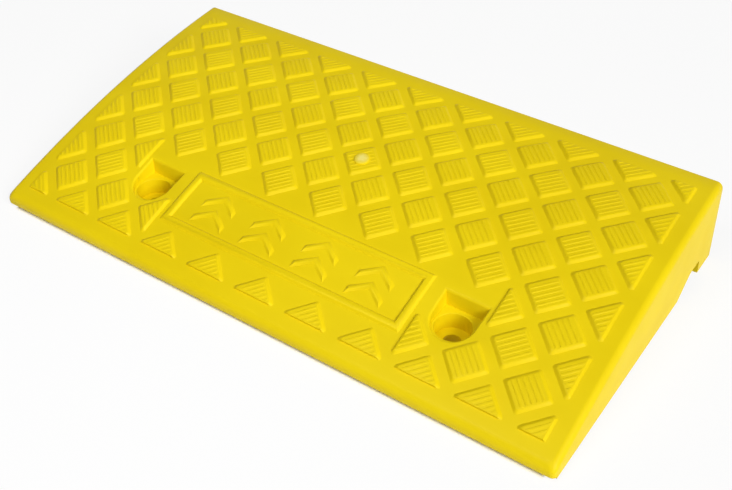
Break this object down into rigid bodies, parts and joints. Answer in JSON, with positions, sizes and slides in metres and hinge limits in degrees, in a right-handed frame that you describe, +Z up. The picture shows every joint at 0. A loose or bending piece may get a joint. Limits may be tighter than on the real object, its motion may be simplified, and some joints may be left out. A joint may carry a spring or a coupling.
{
  "type": "kerb ramp",
  "caption": "Low yellow plastic wedge ramp with a crowned deck of raised ribbed diamond pads, two recessed anchor pockets, a drain channel and rubber feet, for driving up a kerb.",
  "frame": {"origin": "on the ground, under the middle of the ramp's length and depth", "axes": "+X along the kerb, +Y up the slope from the thin nose to the tall back wall, +Z up"},
  "size_m": [0.4998, 0.262, 0.0686],
  "materials": {
    "yellow_plastic": "satin injection-moulded plastic, coloured through",
    "black_rubber": "matte moulded rubber"
  },
  "bodies": {
    "root": {"ramp_body": "yellow_plastic", "foot_front_outer_left": "black_rubber", "foot_front_inner_left": "black_rubber", "foot_front_inner_right": "black_rubber", "foot_front_outer_right": "black_rubber", "foot_back_outer_left": "black_rubber", "foot_back_inner_left": "black_rubber", "foot_back_inner_right": "black_rubber", "foot_back_outer_right": "black_rubber"}
  },
  "joints": []
}
